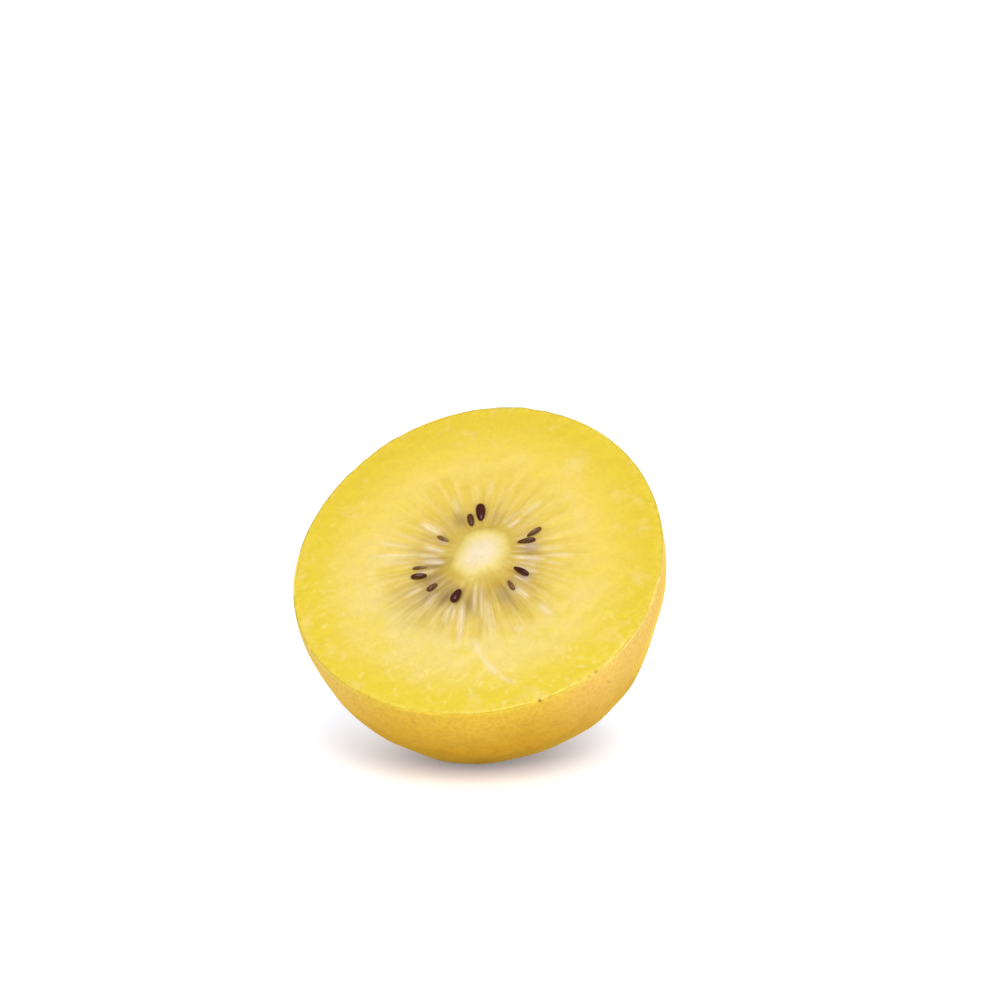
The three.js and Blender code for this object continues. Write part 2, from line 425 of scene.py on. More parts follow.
def scattered_strands(x, y, count, seed, inner, length, half_width):
    """Thin lines that run outward, with random places, lengths, widths and strengths."""
    rng = np.random.default_rng(seed)
    total = np.zeros_like(x)
    for _ in range(count):
        angle, lean = rng.uniform(0, 360), rng.normal(0, 2)
        first = rng.uniform(*inner)
        start, end = polar(angle, first), polar(angle + lean, first + rng.uniform(*length))
        line = strand(x, y, start, end, rng.uniform(*half_width))
        total = np.maximum(total, rng.uniform(0.3, 1.0) * line)
    return total


def bundles(x, y, lines):
    """Lines given as FIBRES are, each a bundle of three strands."""
    rng = np.random.default_rng(42)
    total = np.zeros_like(x)
    for from_angle, from_distance, to_angle, to_distance, half_width, strength in lines:
        start, end = polar(from_angle, from_distance), polar(to_angle, to_distance)
        side = np.array([start[1] - end[1], end[0] - start[0]]) / math.hypot(*(end - start))
        for offset, share in ((-1.0, 0.6), (0.0, 1.0), (1.0, 0.6)):
            shift = side * half_width * (1.3 * offset + rng.uniform(-0.3, 0.3))
            line = strand(x, y, start + shift, end + shift * rng.uniform(0.2, 1.4), half_width)
            total = np.maximum(total, strength * share * line)
    return total


def chamber_marks(distance, angle):
    """The golden chambers, each with a rounded outer end, and the pale walls between them."""
    rng = np.random.default_rng(43)
    across, number = across_chambers(angle)
    ends = rng.uniform(12.0, 16.4, RAY_COUNT)[number]
    strengths = rng.uniform(0.5, 1.0, RAY_COUNT)[number]
    spacing = 2 * math.pi * distance / RAY_COUNT
    corner = 2.2
    rounding = np.sqrt(1 - np.clip((distance - ends + corner) / corner, 0, 1) ** 2)
    half = 0.37 * spacing * rounding
    inside = smooth(half + 0.4, half - 0.4, np.abs(across) * spacing)
    golden = inside * strengths * smooth(6.5, 10.0, distance)
    wall = smooth(0.32, 0.46, np.abs(across)) * smooth(7.5, 10.5, distance)
    return (
        golden * smooth(ends + 0.9, ends - 1.9, distance),
        wall * (1.2 - strengths) * smooth(ends + 1.0, ends - 3.0, distance),
    )


def seed_shade(x, y):
    """How much the seeds dim the flesh over and beside them, from 0 to 1."""
    shade = np.zeros_like(x)
    for angle, distance, length, width, lean, _ in SEEDS:
        apart = near_seed(x, y, angle, distance, length, width + 0.2, lean)
        shade = np.maximum(shade, 0.8 * np.exp(-apart * 1.5))
    for angle, distance, length, width, strength in DEEP_SEEDS:
        apart = near_seed(x, y, angle, distance, length, width, 0)
        shade = np.maximum(shade, strength * np.exp(-apart * 0.8))
    return shade


def core_marks(distance, angle):
    """How far out each point lies, stretched to the core's uneven shape, and the ochre round it."""
    fray = 1 + 0.05 * round_noise(angle, 30, 41) + 0.03 * round_noise(angle, 90, 44)
    stretch = core_radius(angle) / CORE_RADIUS * fray
    near = smooth(9.0, 3.0, distance)
    patches = np.maximum(round_bump(angle, 209, 20), round_bump(angle, 304, 26))
    middle = 5.1 + 0.9 * patches
    width = 0.85 + 0.3 * patches
    ochre = np.exp(-((distance - middle) / width) ** 2) * (0.38 + 0.62 * patches)
    return (
        distance / CUT_RADIUS / (1 + near * (stretch - 1)),
        ochre * (0.75 + 0.25 * round_noise(angle, 26, 45)),
    )


def dull_mark(distance, angle, low):
    """The duller flesh among and below the seeds."""
    left = round_bump(angle, 225, 22)
    right = 0.75 * round_bump(angle, 72, 42)
    far = 10.5 + 7.0 * low + 2.0 * left
    zone = smooth(5.4, 6.8, distance) * smooth(far, 7.0 + 1.0 * low, distance)
    uneven = 0.7 + 0.4 * round_noise(angle, 40, 49)
    return np.clip(zone * (0.45 + 0.6 * low - right + 0.35 * left) * uneven, 0, 1)


def sunny_mark(distance, angle):
    """Places beyond the seeds where the flesh is golden all over."""
    sunny = np.maximum(round_bump(angle, 75, 28), 0.7 * round_bump(angle, 325, 20))
    sunny = np.maximum(sunny, 0.6 * round_bump(angle, 6, 12))
    return sunny * (smooth(8.5, 12.0, distance) * smooth(18.0, 14.0, distance))


def face_marks(x, y, share):
    """The colour marks of the cut face, from 0 to 1, at points given from the core's centre."""
    distance = np.hypot(x, y)
    angle = np.arctan2(y, x)
    low = smooth(-0.5, 0.9, np.cos(angle - math.radians(LOW_SIDE)))
    reach, ochre = core_marks(distance, angle)
    golden, wall = chamber_marks(distance, angle)
    pale = scattered_strands(x, y, 110, 46, (5.6, 10.5), (3.0, 7.0), (0.16, 0.4))
    flecks = scattered_strands(x, y, 460, 48, (20.0, 26.6), (0.5, 1.8), (0.09, 0.22))
    return {
        "reach": reach,
        "rim": share,
        "low": low,
        "ochre": ochre,
        "gold": np.maximum(golden, 0.55 * sunny_mark(distance, angle)),
        "pale": np.maximum(pale, wall),
        "fibre": bundles(x, y, FIBRES),
        "painted_glint": bundles(x, y, GLINTS),
        "dark": scattered_strands(x, y, 110, 47, (5.0, 8.5), (1.5, 4.0), (0.16, 0.36)),
        "fleck": flecks * low,
        "dull": dull_mark(distance, angle, low),
        "shade": seed_shade(x, y),
    }


def flesh_marks(x, y, share, below):
    """The cut face's marks, with its middle point before them and the hidden points after them."""
    marks = {}
    for name, values in face_marks(x, y, np.broadcast_to(share, x.shape)).items():
        first = values.ravel()[0] if name == "low" else 0.0
        last = 1.0 if name in ("reach", "rim") else 0.0
        marks[name] = np.concatenate([[first], values.ravel(), np.full(below, last)])
    return marks


# ---- pieces

def flesh_top(angle, share):
    """The cut face's points, in rings at a share of the way out, and their places from the core."""
    edge = outline_radius(angle) - SKIN_SEEN
    x = edge * share * np.cos(angle) + (1 - share) * CORE_CENTRE[0]
    y = edge * share * np.sin(angle) + (1 - share) * CORE_CENTRE[1]
    from_core = (x - CORE_CENTRE[0], y - CORE_CENTRE[1])
    inset = edge * (1 - share)
    rounding = EDGE_DROP * np.clip(1 - inset / EDGE_ROUNDING, 0, 1) ** 2
    return np.stack([x, y, face_height(*from_core) - rounding], -1), from_core


def flesh_underside(angle):
    """Points of the flesh's hidden side, and the tip that closes it."""
    turns = np.linspace(UNDERSIDE_START, math.pi / 2, UNDERSIDE_RINGS + 1)[:-1, None]
    under = skin_points(turns, angle, SKIN_THICKNESS + UNDERSIDE_GAP)
    tip = np.array([0, 0, UNDERSIDE_STOP - HALF_LENGTH])
    under[..., 2] = np.maximum(under[..., 2], tip[2])
    return under, tip


def make_flesh():
    """The golden flesh with its cut face, closed by a plain underside just within the skin."""
    angle = round_angles(FACE_STEPS)
    radii = np.concatenate([
        np.linspace(start, end, count + 1)[1:] for start, end, count in FACE_RINGS
    ])
    share = (radii / CUT_RADIUS)[:, None]
    top, from_core = flesh_top(angle, share)
    under, tip = flesh_underside(angle)
    middle = np.array([*CORE_CENTRE, CORE_RISE])
    points = np.vstack([middle[None], top.reshape(-1, 3), under.reshape(-1, 3), tip[None]])
    rings = len(top) + len(under)
    faces = fan_faces(0, 1, FACE_STEPS, inward=False)
    faces += ring_faces(rings, FACE_STEPS, first=1)
    faces += fan_faces(len(points) - 1, 1 + (rings - 1) * FACE_STEPS, FACE_STEPS, inward=True)
    piece = add_mesh("kiwi_flesh", to_row(points), faces, lowest=FLESH_LOWEST)
    set_marks(piece, flesh_marks(*from_core, share, len(under) * FACE_STEPS + 1))
    return piece


def make_skin():
    """The thin skin: a closed shell from the cut edge to the stem scar."""
    angle = round_angles(SKIN_ROUND_STEPS)
    wander = 0.05 * round_noise(angle, 60, 51) + 0.03 * round_noise(angle, 150, 52)
    oval = 1 / np.hypot(np.cos(angle), np.sin(angle) / SCAR_OVAL)
    hole = np.arccos(SCAR_RADIUS * SKIN_HOLE * oval / CUT_RADIUS)
    turns = hole * np.linspace(0.0, 1, SKIN_DOWN_STEPS)[:, None] ** 1.25 + SKIN_START
    outer = skin_points(turns, angle, 0.0)
    inner = skin_points(turns, angle, SKIN_THICKNESS)[::-1]
    radius = outline_radius(angle)
    lip = []
    for inset, drop in SKIN_LIP:
        width = radius - inset
        height = -EDGE_DROP - drop + wander
        lip.append(np.stack([width * np.cos(angle), width * np.sin(angle), height], -1))
    rings = np.concatenate([np.concatenate(lip), outer, inner])
    faces = ring_faces(len(rings), SKIN_ROUND_STEPS, closed=True)
    return add_mesh("kiwi_skin", to_row(rings.reshape(-1, 3)), faces, lowest=0.0)


def spin_about_z(turn):
    """The matrix that turns rows of points about z by an angle in radians."""
    return np.array([
        [math.cos(turn), math.sin(turn), 0], [-math.sin(turn), math.cos(turn), 0], [0, 0, 1],
    ])


def seed_points(length, width, rounds=28, rings=22):
    """A blunt glossy drop along x, a little narrower at its inner end, centred on the origin."""
    turn = np.linspace(0, math.pi, rings)[:, None]
    angle = round_angles(rounds)
    x = -0.5 * np.cos(turn)
    girth = 0.5 * np.sin(turn) ** 0.75 * (1 + 2 * SEED_TAPER * x)
    return np.stack([
        np.broadcast_to(x * length, (rings, rounds)),
        girth * np.cos(angle) * width,
        girth * np.sin(angle) * SEED_DEPTH,
    ], -1)


def make_seeds():
    """The seeds that the cut shows, each pointing at the core."""
    points, faces, freedom = [], [], []
    for angle, distance, length, width, lean, free in SEEDS:
        x, y = polar(angle, distance)
        height = float(face_height(np.array([x]), np.array([y]))[0]) + hollow_depth(free)
        centre = [x + CORE_CENTRE[0], y + CORE_CENTRE[1], height + SEED_DEPTH * (free - 0.5)]
        spin = spin_about_z(math.radians(angle + lean))
        drop = seed_points(length, width) @ spin + np.array(centre)
        rings, rounds = drop.shape[:2]
        faces += ring_faces(rings, rounds, first=sum(map(len, points)))
        points.append(drop.reshape(-1, 3))
        freedom.append(np.full(rings * rounds, free))
    piece = add_mesh("kiwi_seeds", to_row(np.vstack(points)), faces)
    set_marks(piece, {"free": np.concatenate(freedom)})
    return piece


def scar_cracks(radius, angle):
    """Where the cork has split: broken arcs between its ridges and short cracks across them."""
    arc = CRACK_RADIUS + 0.45 * round_noise(angle, 9, 65)
    arcs = np.exp(-((radius - arc) / 0.2) ** 2) * smooth(-0.2, 0.4, round_noise(angle, 11, 66))
    inner = arc - 1.9 + 0.3 * round_noise(angle, 8, 67)
    broken = smooth(0.0, 0.5, round_noise(angle, 9, 68))
    arcs += 0.7 * np.exp(-((radius - inner) / 0.16) ** 2) * broken
    across = smooth(0.55, 0.9, round_noise(angle, 47, 63))
    across *= smooth(2.4, 3.4, radius) * smooth(SCAR_RADIUS, SCAR_RADIUS - 1.2, radius)
    return np.clip(arcs + 0.6 * across, 0, 1)


def scar_height(radius, angle):
    """Height of the corky scar, with its uneven rings and cracks."""
    shares, heights = zip(*sorted(SCAR_RINGS))
    base = np.interp(radius, shares, heights)
    x, y = radius * np.cos(angle), radius * np.sin(angle)
    points = np.stack([x, y, np.zeros_like(x)], -1)
    rough = 0.10 * lump_noise(points, 1.4, 61) + 0.05 * lump_noise(points, 0.6, 62)
    fade = smooth(SCAR_RADIUS, SCAR_RADIUS - 0.8, radius)
    return base + rough * fade - 0.25 * scar_cracks(radius, angle)


def make_scar(steps=240, rings=64):
    """The corky stem scar, a closed plug with its rough face out."""
    angle = round_angles(steps)
    wobble = 1 + 0.03 * round_noise(angle, 17, 64)
    radius = np.linspace(SCAR_RADIUS / rings, SCAR_RADIUS, rings)[:, None]
    everywhere = (radius * np.ones_like(angle), angle * np.ones_like(radius))
    height = scar_height(*everywhere)
    x = radius * wobble * np.cos(angle)
    y = radius * wobble * np.sin(angle) * SCAR_OVAL
    top = np.stack([x, y, height], -1)
    base = np.array([[0, 0, -SCAR_ROOT * 0.8]])
    root = top[-1:] * np.array([0.9, 0.9, 0]) + base
    tip = np.array([[0, 0, height[0].mean()]])
    points = np.vstack([tip, top.reshape(-1, 3), root.reshape(-1, 3), base])
    faces = fan_faces(0, 1, steps, inward=False)
    faces += ring_faces(rings + 1, steps, first=1)
    faces += fan_faces(len(points) - 1, 1 + rings * steps, steps, inward=True)
    piece = add_mesh("kiwi_stem_scar", to_row(stem_to_face(points)), faces)
    hole = smooth(HOLE_RADIUS, HOLE_RADIUS - 0.5, everywhere[0])
    marks = {"crack": scar_cracks(*everywhere), "hole": hole}
    hidden = np.zeros(steps + 1)
    for name, values in marks.items():
        marks[name] = np.concatenate([[values[0, 0]], values.ravel(), hidden])
    set_marks(piece, marks)
    return piece


def slab_faces(rows, columns, first):
    """Faces of a closed slab: a top grid of points, then a bottom grid alike."""
    count = rows * columns
    faces = []
    for row in range(rows - 1):
        for column in range(columns - 1):
            a = first + row * columns + column
            b, c, d = a + columns, a + columns + 1, a + 1
            faces.append((a, b, c, d))
            faces.append((d + count, c + count, b + count, a + count))
    edge = list(range(columns - 1))
    edge += [row * columns + columns - 1 for row in range(rows - 1)]
    edge += [(rows - 1) * columns + column for column in range(columns - 1, 0, -1)]
    edge += [row * columns for row in range(rows - 1, 0, -1)]
    for place, here in enumerate(edge):
        after = edge[(place + 1) % len(edge)]
        faces.append((first + here, first + after, first + after + count, first + here + count))
    return faces


def sepal_flake(size, rng, rows=22, columns=14):
    """One dried sepal stub along x, its root in the cork and its ragged tip curled up."""
    along = np.linspace(0, 1, rows)[:, None]
    across = np.linspace(-1, 1, columns)[None, :]
    length = SEPAL_LENGTH * size * rng.uniform(0.9, 1.1)
    width = SEPAL_WIDTH * rng.uniform(0.8, 1.15) * (0.6 + 0.4 * size)
    ragged = 1 + 0.12 * rng.uniform(-1, 1, (rows, 1))
    taper = np.sin(math.pi * (0.3 + 0.62 * along)) ** 0.6 * ragged
    end = 1 + 0.1 * rng.uniform(-1, 1, (1, columns))
    x = SEPAL_DISTANCE + length * (along * end - 0.5)
    y = 0.5 * width * taper * across
    rise = math.tan(math.radians(SEPAL_LIFT)) * length * (along - 0.35)
    curl = rng.uniform(0.1, 0.45) * along ** 4
    bend = rng.uniform(-0.25, 0.1) * across ** 2 + 0.15 * rng.uniform(-1, 1) * across * along
    flat = np.stack([x, y, rise + curl + bend - SEPAL_SINK], -1)
    flat += 0.09 * lump_noise(flat, 0.7, int(rng.integers(1000)))[..., None]
    return flat.reshape(-1, 3), (rows, columns)


def make_sepals():
    """The dried sepal stubs: small curled flaps that stand round the middle of the scar."""
    rng = np.random.default_rng(71)
    points, faces = [], []
    for angle, size in SEPALS:
        flake, grid = sepal_flake(size, rng)
        top = flake @ spin_about_z(math.radians(angle + rng.uniform(-8, 8)))
        bottom = top - np.array([0, 0, SEPAL_THICKNESS])
        faces += slab_faces(*grid, first=sum(map(len, points)))
        points.append(np.vstack([top, bottom]))
    return add_mesh("kiwi_sepals", to_row(stem_to_face(np.vstack(points))), faces)


# ---- materials

def seen(red, green, blue):
    """The surface colour that looks like this in the studio light, with 255 as full brightness.

    A value above 255 makes up for skin that the light only grazes.
    """
    shares = np.array([red, green, blue]) / 255
    light = np.where(shares <= 0.04045, shares / 12.92, ((shares + 0.055) / 1.055) ** 2.4)
    return (*(light / LIGHT_LEVEL).tolist(), 1.0)


class Graph:
    """Short words for the nodes of one material."""

    def __init__(self, name):
        self.material = bpy.data.materials.new(name)
        self.material.use_nodes = True
        self.nodes = self.material.node_tree.nodes
        self.shader = self.nodes["Principled BSDF"]

    def put(self, socket, value):
        """Links a socket to another one, or sets it to a number or colour."""
        if isinstance(value, bpy.types.NodeSocket):
            self.material.node_tree.links.new(value, socket)
        else:
            socket.default_value = value

    def set(self, **values):
        """Sets the shader's own sockets, named with _ for a space."""
        for name, value in values.items():
            self.put(self.shader.inputs[name.replace("_", " ")], value)

    def new(self, kind, **values):
        """A new node with values in some of its sockets."""
        node = self.nodes.new("ShaderNode" + kind)
        for name, value in values.items():
            self.put(node.inputs[name], value)
        return node

    def math(self, operation, first, second=0.0, third=0.0):
        node = self.new("Math")
        node.operation = operation
        for socket, value in zip(node.inputs, (first, second, third)):
            self.put(socket, value)
        return node.outputs[0]

    def times(self, first, second):
        return self.math("MULTIPLY", first, second)

    def vector(self, operation, first, second=(0.0, 0.0, 0.0)):
        node = self.new("VectorMath")
        node.operation = operation
        self.put(node.inputs[0], first)
        self.put(node.inputs[1], second)
        return node.outputs["Value" if operation in ("LENGTH", "DOT_PRODUCT") else "Vector"]

    def mix(self, share, first, second, blend="MIX"):
        """Two colours mixed. The numbers are the node's colour sockets, whose names repeat."""
        node = self.new("Mix")
        node.data_type = "RGBA"
        node.blend_type = blend
        self.put(node.inputs[0], share)
        self.put(node.inputs[6], first)
        self.put(node.inputs[7], second)
        return node.outputs[2]

    def layer(self, colour, share, over):
        """A colour with a share of another laid over it, which is given as it is seen."""
        return self.mix(share, colour, seen(*over))

    def remap(self, value, low, high, start=0.0, end=1.0):
        """A soft step from start to end as the value goes from low to high."""
        node = self.new("MapRange")
        node.interpolation_type = "SMOOTHSTEP"
        for socket, number in zip(node.inputs, (value, low, high, start, end)):
            self.put(socket, number)
        return node.outputs[0]

    def ramp(self, value, *stops):
        """A colour ramp from places and the colours seen there."""
        node = self.new("ValToRGB", Fac=value)
        elements = node.color_ramp.elements
        while len(elements) < len(stops):
            elements.new(0.5)
        for element, (place, colour) in zip(elements, stops):
            element.position = place
            element.color = seen(*colour)
        return node.outputs[0]

    def mark(self, name):
        """A mark that set_marks stored on the piece."""
        node = self.new("Attribute")
        node.attribute_name = name
        return node.outputs["Fac"]

    def place(self):
        """Coordinates in the face's frame, in millimetres."""
        turn = math.radians(CUT_TILT - 90)
        node = self.new(
            "Mapping",
            Vector=self.new("TexCoord").outputs["Object"],
            Scale=(1 / MM,) * 3,
            Rotation=(turn, 0, 0),
            Location=-(Matrix.Rotation(turn, 3, "X") @ Vector(CUT_CENTRE)),
        )
        return node.outputs[0]

    def height_above_table(self, place):
        """Height in the row frame of a place in the face's frame."""
        tilt = math.radians(CUT_TILT)
        rise = self.vector("DOT_PRODUCT", place, (0.0, math.cos(tilt), math.sin(tilt)))
        return self.math("ADD", rise, CUT_CENTRE[2])

    def noise(self, vector, scale, detail=2.0, roughness=0.5):
        node = self.new("TexNoise", Vector=vector, Scale=scale, Detail=detail, Roughness=roughness)
        return node.outputs[0]

    def cells(self, vector, scale):
        """Distance to the nearest of scattered points."""
        return self.new("TexVoronoi", Vector=vector, Scale=scale).outputs["Distance"]

    def nicks(self, place):
        """The nicks on the edge of the cut, from 0 to 1."""
        total = 0.0
        for angle, radius, strength in NICKS:
            distance = outline_radius(math.radians(angle)) - SKIN_SEEN
            apart = self.vector("SUBTRACT", place, (*polar(angle, distance), -EDGE_DROP))
            nick = self.remap(self.vector("LENGTH", apart), radius, 0.2 * radius, 0.0, strength)
            total = self.math("MAXIMUM", total, nick)
        return total

    def bump(self, height, strength, distance):
        node = self.new("Bump", Height=height, Strength=strength, Distance=distance * MM)
        self.put(self.shader.inputs["Normal"], node.outputs[0])


def streak_place(graph, place):
    """Coordinates in which noise turns into streaks that run out from the core."""
    from_core = graph.vector("SUBTRACT", place, (*CORE_CENTRE, 0.0))
    flat = graph.vector("MULTIPLY", from_core, (1.0, 1.0, 0.0))
    around = graph.vector("MULTIPLY", graph.vector("NORMALIZE", flat), (30.0, 30.0, 30.0))
    outward = graph.new("CombineXYZ", Z=graph.times(graph.vector("LENGTH", flat), 0.3))
    return graph.vector("ADD", around, outward.outputs[0])


def flesh_ground(graph, mottle):
    """The flesh's broad colours, from the creamy core out to the yellow rim."""
    reach, rim, low = graph.mark("reach"), graph.mark("rim"), graph.mark("low")
    colour = graph.ramp(
        reach,
        (0.0, (250, 230, 194)),
        (0.06, (250, 229, 186)),
        (0.10, (246, 224, 156)),
        (0.13, (240, 216, 120)),
        (0.162, (224, 195, 90)),
        (0.25, (224, 190, 90)),
        (0.33, (233, 200, 92)),
        (0.43, (244, 213, 96)),
        (0.58, (248, 218, 104)),
        (0.70, (248, 217, 88)),
    )
    creamy = graph.times(low, graph.remap(reach, 0.4, 0.6, 0.0, 0.8))
    colour = graph.layer(colour, creamy, (248, 222, 132))
    edge = graph.mix(low, seen(238, 207, 44), seen(241, 213, 48))
    colour = graph.mix(graph.remap(rim, 0.62, 0.94), colour, edge)
    outer = graph.remap(reach, 0.4, 0.6)
    lemon = graph.times(graph.remap(mottle, 0.48, 0.68, 0.0, 0.5), outer)
    colour = graph.layer(colour, lemon, (243, 218, 50))
    cream = graph.times(graph.remap(mottle, 0.46, 0.3, 0.0, 0.45), outer)
    return graph.layer(colour, cream, (249, 220, 138))


def flesh_rays(graph, colour, streak, silk):
    """The chambers, the dull and ochre flesh round the core, and the light and dark rays."""
    reach, low = graph.mark("reach"), graph.mark("low")
    golden = graph.times(graph.mark("gold"), graph.remap(streak, 0.35, 0.62, 0.6, 0.85))
    colour = graph.layer(colour, golden, (234, 202, 52))
    dull = graph.times(graph.mark("dull"), graph.remap(streak, 0.38, 0.6, 0.85, 0.5))
    colour = graph.layer(colour, dull, (188, 156, 92))
    ochre = graph.times(graph.mark("ochre"), graph.remap(streak, 0.3, 0.7, 0.75, 1.0))
    colour = graph.layer(colour, ochre, (208, 172, 38))
    rays = graph.times(graph.remap(reach, 0.2, 0.33), graph.remap(reach, 0.72, 0.36))
    rays = graph.times(rays, graph.remap(low, 0.0, 1.0, 0.4, 1.0))
    light = graph.times(graph.remap(silk, 0.5, 0.68, 0.0, 0.36), rays)
    colour = graph.layer(colour, light, (251, 226, 148))
    deep = graph.times(graph.remap(silk, 0.5, 0.32, 0.0, 0.36), rays)
    colour = graph.layer(colour, deep, (208, 180, 90))
    dark = graph.times(graph.mark("dark"), graph.remap(low, 0.0, 1.0, 0.2, 0.33))
    colour = graph.layer(colour, dark, (192, 158, 72))
    pale = graph.times(graph.mark("pale"), graph.remap(low, 0.0, 1.0, 0.25, 0.38))
    return graph.layer(colour, pale, (252, 225, 158))


def flesh_details(graph, colour, silk, cells):
    """The seeds' shade, the fibres, the painted glints beside the seeds and the flecks."""
    shade = graph.times(graph.mark("shade"), 0.62)
    colour = graph.layer(colour, shade, (140, 104, 70))
    fibre = graph.times(graph.mark("fibre"), graph.remap(silk, 0.3, 0.6, 0.6, 1.0))
    colour = graph.layer(colour, fibre, (252, 231, 194))
    # Painted reflection: pale lilac glints on the wet flesh beside the seeds.
    painted_glint = graph.times(graph.mark("painted_glint"), 0.75)
    colour = graph.layer(colour, painted_glint, (214, 188, 182))
    fleck = graph.times(graph.mark("fleck"), graph.remap(cells, 0.35, 0.65, 0.25, 0.85))
    return graph.layer(colour, fleck, (253, 232, 150))


def flesh_edge(graph, colour, place, cells):
    """The flesh's outermost half millimetre: uneven, frayed and nicked."""
    rim = graph.mark("rim")
    border = graph.times(graph.remap(rim, 0.95, 0.995), graph.remap(cells, 0.4, 0.6, 0.1, 0.5))
    colour = graph.layer(colour, border, (246, 218, 82))
    frayed = graph.times(graph.remap(rim, 0.965, 0.99), graph.remap(cells, 0.5, 0.34, 0.0, 0.45))
    colour = graph.layer(colour, frayed, (228, 190, 46))
    return graph.layer(colour, graph.nicks(place), NICK_COLOUR)


def flesh_material():
    """Moist golden flesh: a creamy core, pale fibres and golden chambers, yellow to the skin."""
    graph = Graph("golden flesh")
    place = graph.place()
    outward = streak_place(graph, place)
    streak = graph.noise(outward, 0.9)
    silk = graph.noise(graph.vector("MULTIPLY", outward, (1.0, 1.0, 0.4)), 1.1)
    mottle = graph.noise(place, 0.2, detail=3.0, roughness=0.6)
    cells = graph.noise(place, 1.3, detail=3.0, roughness=0.65)
    grain = graph.noise(place, 3.2, detail=3.0, roughness=0.6)
    colour = flesh_ground(graph, mottle)
    colour = flesh_rays(graph, colour, streak, silk)
    colour = flesh_details(graph, colour, silk, cells)
    colour = flesh_edge(graph, colour, place, cells)
    spots = graph.mix(graph.remap(cells, 0.35, 0.6), (0.96, 0.955, 0.9, 1.0), (1.0, 1.0, 1.0, 1.0))
    graph.set(
        Base_Color=graph.mix(1.0, colour, spots, blend="MULTIPLY"),
        Roughness=graph.remap(grain, 0.3, 0.7, 0.32, 0.5),
        Subsurface_Weight=0.25,
        Subsurface_Radius=(1.0, 0.7, 0.3),
        Subsurface_Scale=0.5 * MM,
        Specular_IOR_Level=0.4,
        Coat_Weight=0.1,
        Coat_Roughness=0.15,
    )
    graph.bump(graph.math("MULTIPLY_ADD", streak, 0.5, grain), 0.25, 0.12)
    return graph.material


def skin_ground(graph, away, depth, place):
    """The skin's broad colours: gold near the cut, bronze further down, paler at the sides. The
    gold near the cut is partly the fruit's own colour and partly painted light, for light that
    shines through the thin edge; the paler lower sides are painted light, for grazing light and
    warm light thrown onto them; the pale cream band at the sides of the cut is painted rim light.
    """
    axes = graph.new("SeparateXYZ", Vector=place)
    sideways = graph.math("ABSOLUTE", axes.outputs["X"])
    # Partly painted light: the bright gold near the cut stands in for light shining through the
    # skin there.
    colour = graph.ramp(
        away,
        (0.0, (255, 214, 58)),
        (0.08, (254, 207, 53)),
        (0.16, (253, 202, 51)),
        (0.42, (246, 182, 4)),
        (0.6, (222, 160, 4)),
        (1.0, (192, 140, 20)),
    )
    # Painted light: the lower sides are made paler and pinker, for grazing light and warm light
    # thrown onto them.
    painted_side_light = graph.times(graph.remap(sideways, 9, 24), graph.remap(away, 0.72, 0.2))
    painted_side_light = graph.times(painted_side_light, graph.remap(axes.outputs["Y"], 20, -4, 0.0, 0.7))
    colour = graph.layer(colour, painted_side_light, (280, 227, 126))
    # A gold band along the cut, which turns pale cream towards the sides as painted rim light.
    lip = graph.remap(depth, 1.8, 0.2, 0.0, 0.65)
    lit = graph.mix(graph.remap(sideways, 12, 24), seen(243, 209, 64), seen(258, 232, 130))
    return graph.mix(lip, colour, lit)


def skin_wear(graph, colour, away, depth, place):
    """Brown and light blotches of the skin, which are faint next to the cut."""
    blotch = graph.noise(place, 0.5, detail=5.0, roughness=0.7)
    worn = graph.remap(depth, 3.0, 14.0, 0.35, 1.0)
    brown = graph.times(graph.remap(blotch, 0.45, 0.75, 0.0, 0.6), worn)
    colour = graph.layer(colour, brown, (206, 146, 14))
    fresh = graph.remap(away, 0.7, 0.2, 0.2, 0.6)
    light = graph.times(graph.remap(blotch, 0.52, 0.25), fresh)
    return graph.layer(colour, light, (255, 211, 48))


def skin_grain(graph, colour, away, grain):
    """Fine darker grain all over, and fair grain near the cut."""
    colour = graph.layer(colour, graph.remap(grain, 0.46, 0.66, 0.0, 0.28), (222, 160, 30))
    fair = graph.times(graph.remap(grain, 0.5, 0.32, 0.0, 0.3), graph.remap(away, 0.5, 0.15))
    return graph.layer(colour, fair, (262, 218, 112))


def lenticels(graph, place):
    """The skin's fine dots of two sizes, from 0 to 1."""
    patchy = graph.remap(graph.noise(place, 0.9), 0.38, 0.62, 0.45, 1.0)
    large = graph.times(graph.remap(graph.cells(place, 1.25), 0.36, 0.1), patchy)
    small = graph.times(graph.remap(graph.cells(place, 2.3), 0.34, 0.1), 0.55)
    return graph.math("MAXIMUM", large, small)


def skin_dots(graph, colour, away, place, dots):
    """Pale lenticels, a few brown specks, the nicks, and painted shade at the bottom, where the
    skin meets the table.
    """
    dotted = graph.times(dots, graph.remap(away, 0.3, 0.7, 0.35, 0.85))
    colour = graph.layer(colour, dotted, (246, 199, 88))
    specks = graph.remap(graph.cells(place, 0.3), 0.1, 0.04, 0.0, 0.5)
    colour = graph.layer(colour, specks, (196, 116, 44))
    colour = graph.layer(colour, graph.nicks(place), NICK_COLOUR)
    # Painted shade: the skin darkens towards the table, as a contact shadow would.
    painted_contact_shade = graph.remap(graph.height_above_table(place), 4.0, 0.0, 0.0, 0.6)
    return graph.layer(colour, painted_contact_shade, (196, 136, 0))


